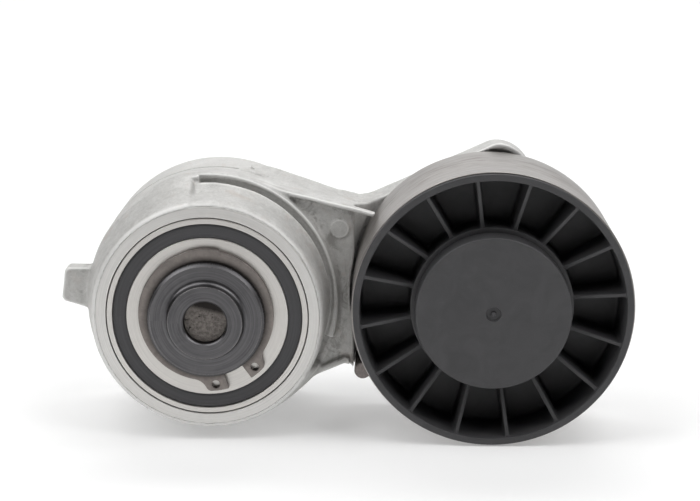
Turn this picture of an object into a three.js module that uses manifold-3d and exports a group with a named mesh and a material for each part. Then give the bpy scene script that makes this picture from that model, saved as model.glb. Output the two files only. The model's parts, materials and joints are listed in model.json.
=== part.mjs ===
// Belt tensioner idler: a cast swing arm on a fixed pivot shaft, sprung by a torsion spring inside its drum,
// with a free-running flat-belt idler pulley at the arm's end.
//
// Millimetres, +Z up. The pivot and the pulley turn about axes parallel to Y; the front faces -Y.
// Inside `assembly`, x = 0, z = 0 is the pivot axis and y = 0 is the machined face of the arm's front rim.

import * as THREE from 'three';
import { mergeVertices } from 'three/addons/utils/BufferGeometryUtils.js';
import Module from 'manifold-3d';

const wasm = await Module();
wasm.setup();

// ---------------------------------------------------------------- driving dimensions

const PIVOT_Z = 44.0; // height of the pivot axis when the part stands on its base and pulley
const PULLEY_X = 95.6; // pulley axis, from the pivot axis
const PULLEY_Z = 3.2;
const TREAD_R = PIVOT_Z + PULLEY_Z; // the tread reaches the same floor as the base

const NOSE_Y = -7.8; // foremost face: the nose of the pivot shaft
const BACK_Y = 58.0; // mounting face at the back of the base
const JOINT_Y = 38.8; // back of the arm's drum
const JOINT_GAP = 0.5; // between the arm's drum and the base
const TAB_REACH = 52.2; // stop tab, from the pivot axis
const GAP = 0.3; // between pieces that touch

const BASE_R = 44.0;
const DRUM_R = 43.9; // drum at its open back
const RIM_R = 37.7; // outer edge of the machined front rim

const SHAFT_R = 19.7;
const NOSE_R = 12.66;
const NOSE_BORE_R = 7.25;
const PLUG_FRONT_Y = -4.6;
const SHAFT_FACE_Y = -4.9;
const SPIGOT_R = 16.0;
const BUSH_R = 22.6;

const CAVITY_R = 36.2; // spring space inside the drum
const CAVITY_Y = 20.0;
const HUB_TUBE_R = 26.0;
const WIRE_R = 2.4;
const COIL_R = 31.4;
const COIL_TURNS = 4.5;

const GROOVE_Y = 17.3; // arc groove behind the drum's shoulder
const GROOVE_BACK_Y = 19.8;
const GROOVE_FLOOR_R = 39.8;
const GROOVE_FROM = -31; // degrees from +X, towards +Z
const GROOVE_TO = 97;
const WALL_FROM = -17; // the thin wall outside the groove ends before the groove does
const WALL_X = -0.6; // centre of the wall's arc
const WALL_Z = 1.8;
const WALL_IN_R = 42.3;
const WALL_OUT_R = 44.0;
const WALL_FRONT_Y = 18.6;
const SHOULDER_R = 41.3;
const SHOULDER_Z = 1.4;

const RIB_Y = 20.5; // front edge of the arm's flanges
const WEB_Y = 22.5; // recessed face of the arm's web
const ARM_BACK_Y = 46.0;
const PLATE_Y = 36.8; // front of the end plate behind the pulley
const FLANGE_T = 1.4;
const FOOT_T = 2.4; // the same along the arm's lower edge
const WEB_EDGE_X = 49.1;
const PULLEY_CLEARANCE = 0.9;
const BASE_CLEARANCE = 0.7;
const BOSS_R = 14.0;
const BOSS_Y = 22.0;
const END_R = 29.0;
const LUG = { x: 98.5, z: 40.4, outer: 12.5, pocket: 9.6 };
const PIN = { x: 52.0, z: -25.3, r: 3.0 };
const PAD = { x: 43.8, z: 25.4, r: 3.5, height: 0.5 };

const PULLEY_FRONT_Y = -3.6;
const PULLEY_BACK_Y = 35.0;
const RIM_LIP_R = 46.7;
const RIM_IN_R = 44.4;
const RIB_COUNT = 16;
const RIB_T = 1.2;
const RIB_PHASE = 7.5;
const PULLEY_HUB_R = 27.5;
const PULLEY_HUB_Y = 2.8;
const CAP_R = 25.9;
const CAP_Y = -5.9;

const ROUND = 28; // sides of the large rounds, the same on all of them so that they nest
const SMALL = 16;

// Bearings: bore, inner shoulder, outer shoulder and outside radii, width, front face, balls.
const PIVOT_BEARING = {
  name: 'pivot', bore: 20.0, inner: 27.2, outer: 32.0, outside: 33.85,
  width: 15.0, front: 0.0, ball: 3.1, pitch: 29.6, count: 10,
};
const PULLEY_BEARING = {
  name: 'pulley', bore: 8.6, inner: 12.9, outer: 19.2, outside: 23.5,
  width: 14.0, front: 3.0, ball: 3.8, pitch: 16.05, count: 8,
};

// ---------------------------------------------------------------- materials

function finish(color, roughness, metalness) {
  return new THREE.MeshStandardMaterial({ color, roughness, metalness });
}

const castAluminium = () => finish(0xb8b6b1, 0.55, 0.75);
const darkSteel = () => finish(0x4a4c50, 0.35, 0.9);
const ringSteel = () => finish(0xcbc8c3, 0.3, 0.9);
const clipSteel = () => finish(0x98938a, 0.4, 0.85);
const treadSteel = () => finish(0xbdb6b1, 0.4, 0.8);
const plugSteel = () => finish(0x746a63, 0.8, 0.5);
const sealRubber = () => finish(0x47474a, 0.8, 0.0);
const blackPlastic = () => finish(0x3a3a3c, 0.55, 0.0);
const palePolymer = () => finish(0xc9c0a8, 0.6, 0.0);

// ---------------------------------------------------------------- solids

// A closed geometry as a solid, with its vertices merged and its faces pointing out.
function solid(geometry) {
  const bare = geometry.index ? geometry.toNonIndexed() : geometry.clone();
  bare.deleteAttribute('normal');
  bare.deleteAttribute('uv');
  const merged = mergeVertices(bare, 1e-4);
  const spots = merged.getAttribute('position');
  const corners = merged.index.array;
  const kept = [];
  const a = new THREE.Vector3();
  const b = new THREE.Vector3();
  const c = new THREE.Vector3();
  let volume = 0;
  for (let i = 0; i < corners.length; i += 3) {
    const [p, q, r] = [corners[i], corners[i + 1], corners[i + 2]];
    if (p === q || q === r || r === p) continue;
    kept.push(p, q, r);
    a.fromBufferAttribute(spots, p);
    b.fromBufferAttribute(spots, q);
    c.fromBufferAttribute(spots, r);
    volume += a.dot(b.cross(c));
  }
  if (volume < 0) {
    for (let i = 0; i < kept.length; i += 3) [kept[i], kept[i + 1]] = [kept[i + 1], kept[i]];
  }
  const mesh = new wasm.Mesh({
    numProp: 3,
    vertProperties: new Float32Array(spots.array),
    triVerts: new Uint32Array(kept),
  });
  return new wasm.Manifold(mesh);
}

function piece(name, body, material) {
  const { vertProperties, triVerts } = body.getMesh();
  const geometry = new THREE.BufferGeometry();
  geometry.setAttribute('position', new THREE.BufferAttribute(vertProperties, 3));
  geometry.setIndex(new THREE.BufferAttribute(triVerts, 1));
  geometry.computeVertexNormals();
  const mesh = new THREE.Mesh(geometry, material);
  mesh.name = name;
  return mesh;
}

// A solid of revolution about Y. The profile is [radius, y] pairs and closes on itself or on the axis.
function turned(profile, sides = ROUND) {
  const points = profile.map(([r, y]) => new THREE.Vector2(r, y));
  const onAxis = profile[0][0] === 0 && profile[profile.length - 1][0] === 0;
  if (!onAxis) points.push(points[0].clone());
  return solid(new THREE.LatheGeometry(points, sides));
}

function ring(inner, outer, front, back, sides = ROUND) {
  return turned([[inner, front], [outer, front], [outer, back], [inner, back]], sides);
}

function rod(radius, front, back, sides = ROUND, x = 0, z = 0) {
  const geometry = new THREE.CylinderGeometry(radius, radius, back - front, sides);
  geometry.translate(x, (front + back) / 2, z);
  return solid(geometry);
}

// A flat outline in the XZ plane, given thickness along Y.
function plate(shape, front, back, sides = 12) {
  const geometry = new THREE.ExtrudeGeometry(shape, {
    depth: back - front,
    bevelEnabled: false,
    curveSegments: sides,
  });
  geometry.rotateX(Math.PI / 2);
  geometry.translate(0, back, 0);
  return solid(geometry);
}

function outline(points) {
  return new THREE.Shape(points.map(([x, z]) => new THREE.Vector2(x, z)));
}

const radians = THREE.MathUtils.degToRad;

function arcBand(inner, outer, fromDegrees, toDegrees, x = 0, z = 0) {
  const shape = new THREE.Shape();
  shape.absarc(x, z, outer, radians(fromDegrees), radians(toDegrees), false);
  shape.absarc(x, z, inner, radians(toDegrees), radians(fromDegrees), true);
  return shape;
}

// ---------------------------------------------------------------- bearings

function bearingRings(size) {
  const { bore, inner, outer, outside, width, front, ball, pitch } = size;
  const back = front + width;
  const middle = front + width / 2;
  const flat = ball * 0.62;
  const shoulder = ball * 0.95;
  const innerFloor = pitch - ball - GAP;
  const outerFloor = pitch + ball + GAP;
  const innerRing = turned([
    [bore, front], [inner, front], [inner, middle - shoulder], [innerFloor, middle - flat],
    [innerFloor, middle + flat], [inner, middle + shoulder], [inner, back], [bore, back],
  ]);
  const outerRing = turned([
    [outside, front], [outside, back], [outer, back], [outer, middle + shoulder],
    [outerFloor, middle + flat], [outerFloor, middle - flat], [outer, middle - shoulder], [outer, front],
  ]);
  return [
    piece(`${size.name}_bearing_inner_ring`, innerRing, ringSteel()),
    piece(`${size.name}_bearing_outer_ring`, outerRing, ringSteel()),
  ];
}

function bearingSeals(size) {
  const { inner, outer, width, front } = size;
  const thickness = 1.2;
  const faces = { front: front + GAP, rear: front + width - GAP - thickness };
  return Object.entries(faces).map(([side, y]) => {
    const seal = ring(inner + 0.2, outer - 0.2, y, y + thickness);
    return piece(`${size.name}_bearing_${side}_seal`, seal, sealRubber());
  });
}

function bearingCage(size) {
  const { width, front, ball, pitch, count } = size;
  const middle = front + width / 2;
  const half = ball + 1.6;
  const windowR = (ball + GAP) / Math.cos(Math.PI / 6); // a six-sided window clears the ball at its flats
  let cage = ring(pitch - 1.0, pitch + 1.0, middle - half, middle + half, 24);
  for (let i = 0; i < count; i += 1) {
    const window = new THREE.CylinderGeometry(windowR, windowR, 8, 6);
    window.rotateZ(Math.PI / 2);
    window.translate(pitch, middle, 0);
    window.rotateY((2 * Math.PI * i) / count);
    cage = cage.subtract(solid(window));
  }
  return piece(`${size.name}_bearing_cage`, cage, palePolymer());
}

function bearingBalls(size) {
  const { width, front, ball, pitch, count } = size;
  const balls = [];
  for (let i = 0; i < count; i += 1) {
    const angle = (2 * Math.PI * i) / count;
    const mesh = piece(`${size.name}_bearing_ball_${i + 1}`, solid(new THREE.SphereGeometry(ball, 8, 5)), ringSteel());
    mesh.position.set(pitch * Math.cos(angle), front + width / 2, -pitch * Math.sin(angle));
    balls.push(mesh);
  }
  return balls;
}

function bearing(size) {
  return [...bearingRings(size), ...bearingSeals(size), bearingCage(size), ...bearingBalls(size)];
}

// ---------------------------------------------------------------- fixed side: base, shaft and spring

function mountingBase() {
  const front = JOINT_Y + JOINT_GAP;
  const hubFront = 39.9;
  const body = turned([
    [SPIGOT_R + GAP, hubFront], [24.0, hubFront], [24.5, 52.0], [38.6, 52.0], [39.0, front],
    [BASE_R, front], [BASE_R, BACK_Y - 1.2], [BASE_R - 1.2, BACK_Y], [30.0, BACK_Y], [30.0, BACK_Y - 1.5],
    [13.0, BACK_Y - 1.5], [13.0, 49.0], [6.6, 49.0], [6.6, 46.0], [SPIGOT_R + GAP, 46.0],
  ], ROUND);
  const ringSeat = ring(39.5, 42.7, front - 1, front + 3.0, ROUND);
  const dowelHole = rod(3.0, BACK_Y - 6, BACK_Y + 1, SMALL, -36.8, 0);
  return piece('mounting_base', body.subtract(ringSeat).subtract(dowelHole), castAluminium());
}

function frictionRing() {
  const front = JOINT_Y + GAP;
  return piece('friction_ring', ring(39.8, 42.4, front, front + 2.9), palePolymer());
}

function pivotShaft() {
  const body = turned([
    [0, 3.0], [NOSE_BORE_R, 3.0], [NOSE_BORE_R, NOSE_Y + 0.5], [NOSE_BORE_R + 0.5, NOSE_Y],
    [NOSE_R - 0.4, NOSE_Y], [NOSE_R, NOSE_Y + 0.4], [NOSE_R, SHAFT_FACE_Y - 0.4], [NOSE_R + 0.4, SHAFT_FACE_Y],
    [SHAFT_R - 0.8, SHAFT_FACE_Y], [SHAFT_R, SHAFT_FACE_Y + 0.8], [SHAFT_R, -2.35], [18.6, -2.35],
    [18.6, -0.1], [SHAFT_R, -0.1], [SHAFT_R, 39.6], [SPIGOT_R, 39.6], [SPIGOT_R, 45.7],
    [5.6, 45.7], [5.6, 30.0], [0, 30.0],
  ]);
  return piece('pivot_shaft', body, darkSteel());
}

function boreSlug() {
  return piece('shaft_bore_plug', rod(NOSE_BORE_R - GAP, PLUG_FRONT_Y, 2.7, 24), plugSteel());
}

function circlip() {
  const front = -2.05;
  const back = -0.3;
  const lugAt = [-83.3, -46.4];
  const bore = rod(19.0, front - 1, back + 1, ROUND);
  const gap = plate(arcBand(10, 30, -73.5, -54.5), front - 1, back + 1, 3);
  // The outside round sits off centre, so the ring is widest opposite its gap.
  let body = rod(22.7, front, back, ROUND, -0.2, 0.95).subtract(bore).subtract(gap);
  for (const degrees of lugAt) {
    const x = 23.1 * Math.cos(radians(degrees));
    const z = 23.1 * Math.sin(radians(degrees));
    const lug = rod(2.5, front, back, 14, x, z);
    body = body.add(lug.subtract(bore)).subtract(rod(1.25, front - 1, back + 1, 10, x, z));
  }
  return piece('bearing_circlip', body, clipSteel());
}

function thrustWasher() {
  return piece('thrust_washer', ring(SHAFT_R + GAP, 25.6, JOINT_Y - 0.5, 39.6), palePolymer());
}

function springSleeve() {
  return piece('spring_sleeve', ring(HUB_TUBE_R + 0.6, 28.1, 21.0, 37.5, 32), blackPlastic());
}

class Coil extends THREE.Curve {
  getPoint(t, target = new THREE.Vector3()) {
    const angle = 2 * Math.PI * COIL_TURNS * t;
    const firstY = CAVITY_Y + WIRE_R + 1.0;
    const lastY = 51.0 - WIRE_R;
    return target.set(COIL_R * Math.cos(angle), firstY + (lastY - firstY) * t, COIL_R * Math.sin(angle));
  }
}

function torsionSpring() {
  const section = new THREE.Shape();
  section.absarc(0, 0, WIRE_R, 0, 2 * Math.PI, false);
  const wire = new THREE.ExtrudeGeometry(section, {
    steps: Math.round(COIL_TURNS * 13),
    curveSegments: 3,
    bevelEnabled: false,
    extrudePath: new Coil(),
  });
  return piece('torsion_spring', solid(wire), darkSteel());
}

function shaftScrew() {
  const head = new THREE.CylinderGeometry(10.4, 10.4, 5.6, 6);
  head.translate(0, 54.1, 0);
  const body = rod(5.3, 31.0, 52.0, SMALL).add(rod(11.5, 51.3, 52.6, 24)).add(solid(head));
  return piece('shaft_screw', body, darkSteel());
}

function shaftScrewWasher() {
  return piece('shaft_screw_washer', ring(6.4, 12.4, 49.3, 51.0, 32), clipSteel());
}

// ---------------------------------------------------------------- swing arm

function drumBlank() {
  return turned([
    [BUSH_R + GAP, CAVITY_Y - 3], [RIM_R - 2, 0], [RIM_R, 0], [RIM_R + 0.6, 0.6], [39.2, 4.0], [40.6, 8.5],
    [42.2, 12.5], [43.5, 15.5], [DRUM_R, JOINT_Y], [BUSH_R + GAP, JOINT_Y],
  ], ROUND);
}

// Spaces inside the drum: the bearing seat, the bush bore and the spring's ring-shaped room.
function drumSpaces() {
  const seat = turned([
    [0, -1], [34.15, -1], [34.15, 15.3], [30.6, 15.3], [30.6, 16.5], [0, 16.5],
  ], ROUND);
  const bore = rod(BUSH_R + GAP, 10, 60, ROUND);
  const room = ring(HUB_TUBE_R, CAVITY_R, CAVITY_Y, 60, ROUND);
  const tubeEnd = rod(HUB_TUBE_R + 0.1, JOINT_Y - 0.8, 60, ROUND);
  return seat.add(bore).add(room).add(tubeEnd);
}

// The arc groove behind the front shoulder, without the thin wall outside it.
function groove() {
  const shoulder = arcBand(SHOULDER_R, 47.0, GROOVE_FROM, GROOVE_TO, WALL_X, SHOULDER_Z);
  const open = arcBand(GROOVE_FLOOR_R, 46.2, GROOVE_FROM, GROOVE_TO);
  const reach = rod(WALL_OUT_R, 5, GROOVE_BACK_Y, ROUND, WALL_X, WALL_Z);
  const trimmed = plate(shoulder, 6.0, GROOVE_Y + 0.1, 16).intersect(reach);
  const channel = plate(open, GROOVE_Y, GROOVE_BACK_Y, 16).intersect(reach);
  return trimmed.add(channel);
}

function arcWall() {
  const band = arcBand(WALL_IN_R, WALL_OUT_R, WALL_FROM, GROOVE_TO + 2, WALL_X, WALL_Z);
  return plate(band, WALL_FRONT_Y, JOINT_Y, 16);
}

function tab() {
  const face = outline([
    [-41, 12.4], [-49.8, 12.4], [-50.9, 11.4], [-TAB_REACH, 1.7], [-51.3, 0.5], [-44, -1.8], [-41, -2.4],
  ]);
  return plate(face, 17.0, 24.0);
}

// Line of the arm's upper edge, from the drum to the end of the front rib.
const UPPER_EDGE = [[12, 43.4], [26.1, 39.9], [39.0, 35.6], [49.6, 32.8], [56.1, 31.1]];
// Line of its lower edge, from under the drum to the foot beside the pin.
const LOWER_EDGE = [[48.8, -25.2], [47.4, -23.2], [45.6, -22.7], [34.6, -27.6], [26.0, -35.0]];

function web() {
  const top = UPPER_EDGE.slice(0, 4);
  const face = outline([[12, 30], ...top, [WEB_EDGE_X, 31], ...LOWER_EDGE, [12, -34]]);
  return plate(face, WEB_Y, ARM_BACK_Y);
}

function flanges() {
  const lowered = UPPER_EDGE.map(([x, z]) => [x, z - FLANGE_T]).reverse();
  const upper = plate(outline([...UPPER_EDGE, ...lowered]), RIB_Y, WEB_Y + 2);
  const raised = LOWER_EDGE.slice(1).map(([x, z]) => [x, z + FOOT_T]).reverse();
  const lower = plate(outline([...LOWER_EDGE.slice(1), ...raised]), RIB_Y, WEB_Y + 2);
  return upper.add(lower);
}

function endPlate() {
  const shape = new THREE.Shape();
  shape.moveTo(44, 34.4);
  shape.splineThru([[50, 32.4], [54, 32.3], [58, 34.0], [62, 36.0], [70, 39.9], [79, 44.3], [90, 49.6]].map(
    ([x, z]) => new THREE.Vector2(x, z)));
  shape.absarc(LUG.x, LUG.z, LUG.outer, radians(120), radians(0), true);
  shape.absarc(PULLEY_X, PULLEY_Z, END_R, radians(50), radians(-118), true);
  shape.lineTo(57, -30.5);
  shape.lineTo(48.5, -27.5);
  shape.lineTo(44, -20);
  return plate(shape, PLATE_Y, ARM_BACK_Y, 10);
}

function tensionerArm() {
  const boss = rod(BOSS_R, BOSS_Y, PLATE_Y + 1, 24, PULLEY_X, PULLEY_Z);
  const pad = rod(PAD.r, WEB_Y - PAD.height, WEB_Y + 1, 16, PAD.x, PAD.z);
  const sweep = rod(TREAD_R + PULLEY_CLEARANCE, -10, PLATE_Y - 0.2, ROUND, PULLEY_X, PULLEY_Z);
  const baseRoom = rod(BASE_R + BASE_CLEARANCE, JOINT_Y, 70, ROUND);
  const lugPocket = rod(LUG.pocket, PLATE_Y - 1, ARM_BACK_Y - 2, 24, LUG.x, LUG.z);
  const boltHole = rod(5.9, BOSS_Y - 1, ARM_BACK_Y + 1, SMALL, PULLEY_X, PULLEY_Z);
  const pinHole = rod(PIN.r + GAP, WEB_Y, ARM_BACK_Y + 1, 16, PIN.x, PIN.z);
  const body = drumBlank()
    .subtract(groove())
    .add(arcWall())
    .add(web().add(flanges()).subtract(rod(WALL_OUT_R - 0.1, 10, GROOVE_BACK_Y, ROUND, WALL_X, WALL_Z)))
    .add(tab())
    .add(pad)
    .subtract(sweep)
    .add(endPlate())
    .add(boss)
    .subtract(drumSpaces())
    .subtract(baseRoom)
    .subtract(lugPocket)
    .subtract(boltHole)
    .subtract(pinHole);
  return piece('tensioner_arm', body, castAluminium());
}

function pivotBush() {
  return piece('pivot_bush', ring(SHAFT_R + GAP, BUSH_R, 17.0, JOINT_Y - 1.1), palePolymer());
}

function stopPin() {
  return piece('stop_pin', rod(PIN.r, RIB_Y, ARM_BACK_Y - 1, 16, PIN.x, PIN.z), clipSteel());
}

// ---------------------------------------------------------------- pulley, built round its own axis

function pulleyBolt() {
  const head = new THREE.CylinderGeometry(10.2, 10.2, 5.4, 6);
  head.translate(0, -1.4, 0);
  const body = rod(8.3, 0.5, BOSS_Y - GAP, 24)
    .add(rod(5.6, 20, ARM_BACK_Y - 1.5, SMALL))
    .add(rod(11.4, 1.0, 2.7, 24))
    .add(solid(head));
  return piece('pulley_bolt', body, darkSteel());
}

function pulleySpacer() {
  const front = PULLEY_BEARING.front + PULLEY_BEARING.width + GAP;
  return piece('pulley_spacer', ring(8.6, 12.6, front, BOSS_Y - GAP, 32), clipSteel());
}

function pulleyRib(index) {
  const side = outline([
    [PULLEY_HUB_R - 1, PULLEY_HUB_Y + 0.2], [RIM_IN_R + 0.4, PULLEY_FRONT_Y + 1.4],
    [RIM_IN_R + 0.4, 31.0], [PULLEY_HUB_R - 1, 24.0],
  ]);
  const geometry = new THREE.ExtrudeGeometry(side, { depth: RIB_T, bevelEnabled: false });
  geometry.translate(0, 0, -RIB_T / 2);
  geometry.rotateY(-radians(RIB_PHASE + (360 / RIB_COUNT) * index));
  return solid(geometry);
}

function pulleyWheel() {
  const seatBack = PULLEY_BEARING.front + PULLEY_BEARING.width + GAP;
  const seatR = PULLEY_BEARING.outside + GAP;
  const hub = turned([
    [seatR, PULLEY_HUB_Y], [PULLEY_HUB_R, PULLEY_HUB_Y], [PULLEY_HUB_R - 0.6, 26.0], [22.0, 26.0],
    [22.0, seatBack], [seatR, seatBack],
  ], ROUND);
  const disc = ring(PULLEY_HUB_R - 1, RIM_IN_R + 0.4, 15.0, 17.5, ROUND);
  const rim = turned([
    [RIM_IN_R, PULLEY_FRONT_Y], [RIM_LIP_R - 0.4, PULLEY_FRONT_Y], [RIM_LIP_R, PULLEY_FRONT_Y + 0.4],
    [RIM_LIP_R, PULLEY_FRONT_Y + 1.2], [45.4, PULLEY_FRONT_Y + 1.2], [45.4, PULLEY_BACK_Y - 0.4],
    [RIM_IN_R - 0.8, PULLEY_BACK_Y - 0.4], [RIM_IN_R - 0.4, 16.0],
  ], ROUND);
  let wheel = hub.add(disc).add(rim);
  for (let i = 0; i < RIB_COUNT; i += 1) wheel = wheel.add(pulleyRib(i));
  return piece('pulley_wheel', wheel, blackPlastic());
}

function pulleyTread() {
  const front = PULLEY_FRONT_Y + 1.2 + GAP;
  const body = turned([
    [45.7, front], [TREAD_R - 0.3, front], [TREAD_R, front + 0.3], [TREAD_R, PULLEY_BACK_Y - 0.5],
    [TREAD_R - 0.5, PULLEY_BACK_Y], [45.7, PULLEY_BACK_Y],
  ], ROUND);
  return piece('pulley_tread', body, treadSteel());
}

function dustCap() {
  const body = turned([
    [0, CAP_Y + 0.7], [1.2, CAP_Y + 0.6], [1.5, CAP_Y], [CAP_R - 0.6, CAP_Y], [CAP_R, CAP_Y + 0.6],
    [CAP_R, PULLEY_HUB_Y - 0.4], [CAP_R - 1.3, PULLEY_HUB_Y - 0.4], [CAP_R - 1.3, CAP_Y + 1.3], [0, CAP_Y + 1.3],
  ], ROUND);
  return piece('dust_cap', body, blackPlastic());
}

// ---------------------------------------------------------------- assembly

const onPulleyAxis = new THREE.Group();
onPulleyAxis.position.set(PULLEY_X, 0, PULLEY_Z);
onPulleyAxis.add(pulleyWheel(), pulleyTread(), dustCap(), pulleyBolt(), pulleySpacer());
onPulleyAxis.add(...bearing(PULLEY_BEARING));

const assembly = new THREE.Group();
assembly.add(mountingBase(), pivotShaft(), boreSlug(), circlip(), thrustWasher(), frictionRing());
assembly.add(springSleeve(), torsionSpring(), shaftScrew(), shaftScrewWasher());
assembly.add(tensionerArm(), pivotBush(), stopPin());
assembly.add(...bearing(PIVOT_BEARING));
assembly.add(onPulleyAxis);

// The part's origin is the centre of its footprint, on the surface it stands on.
assembly.position.set(
  -(PULLEY_X + TREAD_R - TAB_REACH) / 2,
  -(NOSE_Y + BACK_Y) / 2,
  PIVOT_Z,
);

const group = new THREE.Group();
group.add(assembly);

export default group;
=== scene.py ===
"""Looks for the belt tensioner idler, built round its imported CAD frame.

Shapes are worked out in millimetres in the "pivot frame": x = 0, z = 0 is the pivot axis and y = 0 is the
machined front face of the arm's rim, with the front towards -Y. Every mesh is then placed in the row frame.
"""

import json
import math

import bmesh
import bpy
import numpy as np
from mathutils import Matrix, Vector


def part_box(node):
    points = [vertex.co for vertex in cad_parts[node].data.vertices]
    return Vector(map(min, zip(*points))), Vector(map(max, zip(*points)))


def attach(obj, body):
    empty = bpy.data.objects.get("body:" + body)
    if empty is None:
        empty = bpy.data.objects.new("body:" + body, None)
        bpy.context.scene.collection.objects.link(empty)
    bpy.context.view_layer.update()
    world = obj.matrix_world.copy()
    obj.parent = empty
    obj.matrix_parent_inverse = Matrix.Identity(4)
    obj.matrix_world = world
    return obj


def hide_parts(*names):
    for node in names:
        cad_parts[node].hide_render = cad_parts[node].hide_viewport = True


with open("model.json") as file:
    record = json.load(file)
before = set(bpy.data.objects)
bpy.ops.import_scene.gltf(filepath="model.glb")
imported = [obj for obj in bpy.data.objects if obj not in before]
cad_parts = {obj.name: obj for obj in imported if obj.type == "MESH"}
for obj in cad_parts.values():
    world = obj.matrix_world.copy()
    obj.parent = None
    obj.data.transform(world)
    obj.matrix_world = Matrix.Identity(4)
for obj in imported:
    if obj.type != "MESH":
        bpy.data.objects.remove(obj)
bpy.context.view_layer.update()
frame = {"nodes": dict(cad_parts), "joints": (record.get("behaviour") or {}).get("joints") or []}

scene = bpy.context.scene
MM = 0.001
JOINTS = {j["name"]: j for j in frame["joints"]}
FRONT_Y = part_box("pivot_bearing_inner_ring")[0].y
PIVOT = Vector(JOINTS["arm_swing"]["pos_m"])
PIVOT.y = FRONT_Y
PULLEY = Vector(JOINTS["pulley_spin"]["pos_m"])
PULLEY.y = FRONT_Y
PULLEY_AT = (PULLEY.x - PIVOT.x) / MM, (PULLEY.z - PIVOT.z) / MM  # (x, z) in the pivot frame
FINE = 0.5  # grid step of the castings
ROUND = 192  # sides of a turned piece


# ---------------------------------------------------------------- meshes

def mesh_object(name, points, faces, origin, materials, sharp=40.0, material_index=None):
    """A smooth-shaded object from points in mm about its own origin. faces is an array or index lists."""
    mesh = bpy.data.meshes.new(name)
    points = np.asarray(points, np.float32) * MM
    if isinstance(faces, np.ndarray):
        count, corners = faces.shape
        mesh.vertices.add(len(points))
        mesh.vertices.foreach_set("co", points.ravel())
        mesh.loops.add(count * corners)
        mesh.loops.foreach_set("vertex_index", faces.astype(np.int32).ravel())
        mesh.polygons.add(count)
        mesh.polygons.foreach_set("loop_start", np.arange(0, count * corners, corners, dtype=np.int32))
        mesh.update(calc_edges=True)
    else:
        mesh.from_pydata([tuple(map(float, p)) for p in points], [], [list(map(int, f)) for f in faces])
    mesh.validate()
    for material in materials:
        mesh.materials.append(material)
    if material_index is not None:
        mesh.polygons.foreach_set("material_index", np.asarray(material_index, np.int32))
    mesh.polygons.foreach_set("use_smooth", np.ones(len(mesh.polygons), bool))
    if sharp is not None:
        mesh.set_sharp_from_angle(angle=math.radians(sharp))
    made = bpy.data.objects.new(name, mesh)
    made.location = origin
    scene.collection.objects.link(made)
    return made


def settle(piece, body, slot, *stands_for):
    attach(piece, body)
    if stands_for:
        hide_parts(*stands_for)
    return piece


def rounded(profile, closed=True, steps=3):
    """A line of (r, y[, fillet]) points, its corners filleted, with a support point beside each fillet."""
    points = [tuple(map(float, p)) for p in profile]
    made = []
    for i, point in enumerate(points):
        here = np.array(point[:2])
        radius = point[2] if len(point) > 2 else 0.0
        if radius <= 0 or (not closed and i in (0, len(points) - 1)):
            made.append(here)
            continue
        before = np.array(points[i - 1][:2]) - here
        after = np.array(points[(i + 1) % len(points)][:2]) - here
        long_before, long_after = np.linalg.norm(before), np.linalg.norm(after)
        before, after = before / long_before, after / long_after
        half = math.acos(float(np.clip(before @ after, -1, 1))) / 2
        reach = min(radius / math.tan(half), long_before * 0.48, long_after * 0.48)
        radius = reach * math.tan(half)
        centre = here + (before + after) / np.linalg.norm(before + after) * radius / math.sin(half)
        start, end = here + before * reach, here + after * reach
        support = min(0.12, reach * 0.5)
        if long_before * 0.5 > reach + support:
            made.append(start + before * support)
        turn = math.pi - 2 * half
        a, b = start - centre, end - centre
        for k in range(steps + 1):
            t = k / steps
            made.append(centre + (a * math.sin((1 - t) * turn) + b * math.sin(t * turn)) / math.sin(turn))
        if long_after * 0.5 > reach + support:
            made.append(end + after * support)
    return np.array(made)


def turned(profile, sides=None, steps=3):
    """Points and faces of a closed solid of revolution about Y, from a closed profile of (r, y[, fillet])."""
    sides = sides or ROUND
    line = rounded(profile, steps=steps)
    keep = np.ones(len(line), bool)
    for i in range(len(line)):
        keep[i] = np.linalg.norm(line[i] - line[i - 1]) > 1e-5
    line = line[keep]
    angles = 2 * np.pi * np.arange(sides) / sides
    points, index = [], []
    for r, y in line:
        if r < 1e-6:
            index.append(np.full(sides, len(points)))
            points.append((0.0, y, 0.0))
        else:
            index.append(np.arange(len(points), len(points) + sides))
            points += [(r * c, y, r * s) for c, s in zip(np.cos(angles), np.sin(angles))]
    faces = []
    for i in range(len(line)):
        a, b = index[i], index[(i + 1) % len(line)]
        if line[i][0] < 1e-6 and line[(i + 1) % len(line)][0] < 1e-6:
            continue
        for k in range(sides):
            n = (k + 1) % sides
            face = [a[k], a[n], b[n], b[k]]
            faces.append([int(v) for j, v in enumerate(face) if v != face[j - 1]])
    points = np.array(points)
    return points, outward(points, faces)


def outward(points, faces):
    """The faces, all turned over if they enclose a negative volume."""
    volume = 0.0
    for face in faces:
        a = points[face[0]]
        for j in range(1, len(face) - 1):
            volume += float(a @ np.cross(points[face[j]], points[face[j + 1]]))
    return faces if volume > 0 else [f[::-1] for f in faces]


# ---------------------------------------------------------------- distance fields for the castings

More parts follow.
